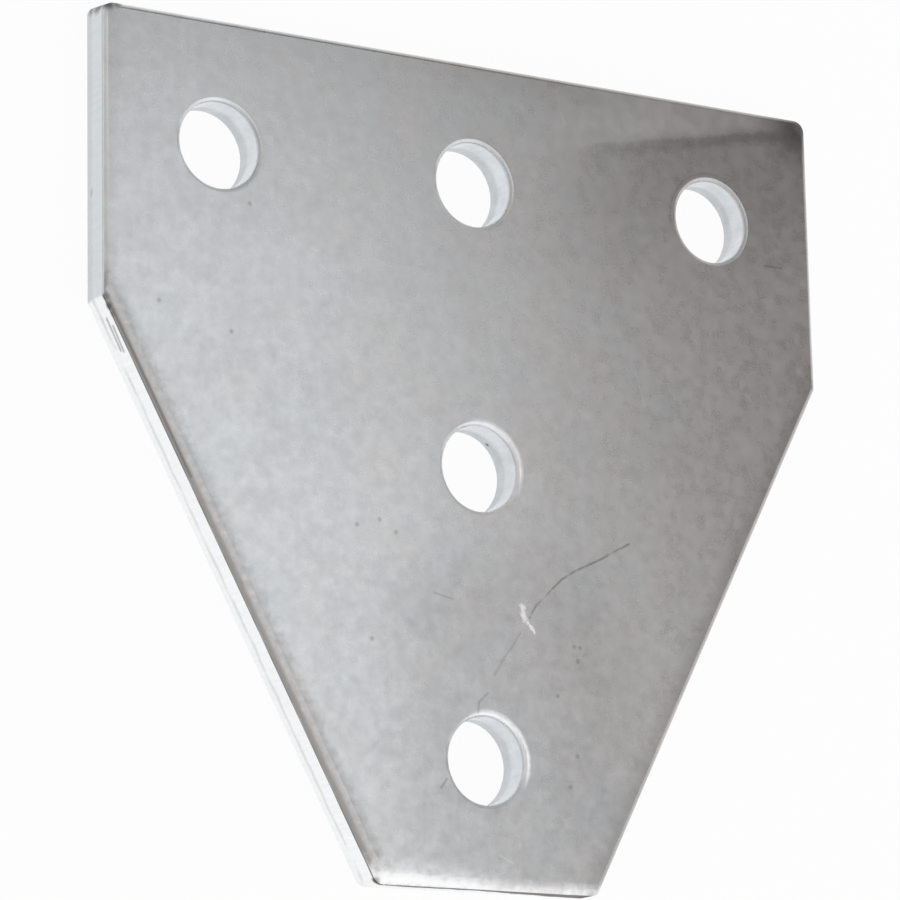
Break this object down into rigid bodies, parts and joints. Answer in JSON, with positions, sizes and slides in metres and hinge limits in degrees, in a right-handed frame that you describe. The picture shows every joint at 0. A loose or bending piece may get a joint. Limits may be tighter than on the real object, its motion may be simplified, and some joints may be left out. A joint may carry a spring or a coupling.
{
  "type": "strut channel tee gusset plate",
  "caption": "Flat tee gusset plate with sloping flanks and round bolt holes, for joining strut channel in a T.",
  "frame": {"origin": "axis of the middle hole at the back face, which is also the centre of the outline", "axes": "+X across the head, +Y from the narrow foot to the wide head, +Z out of the front face, the side the punch entered; the plate lies on its back"},
  "size_m": [0.1366, 0.1366, 0.0063],
  "materials": {
    "zinc_coated_steel": "electro-zinc, satin, soft mottling"
  },
  "bodies": {
    "root": {"gusset_plate": "zinc_coated_steel"}
  },
  "joints": []
}
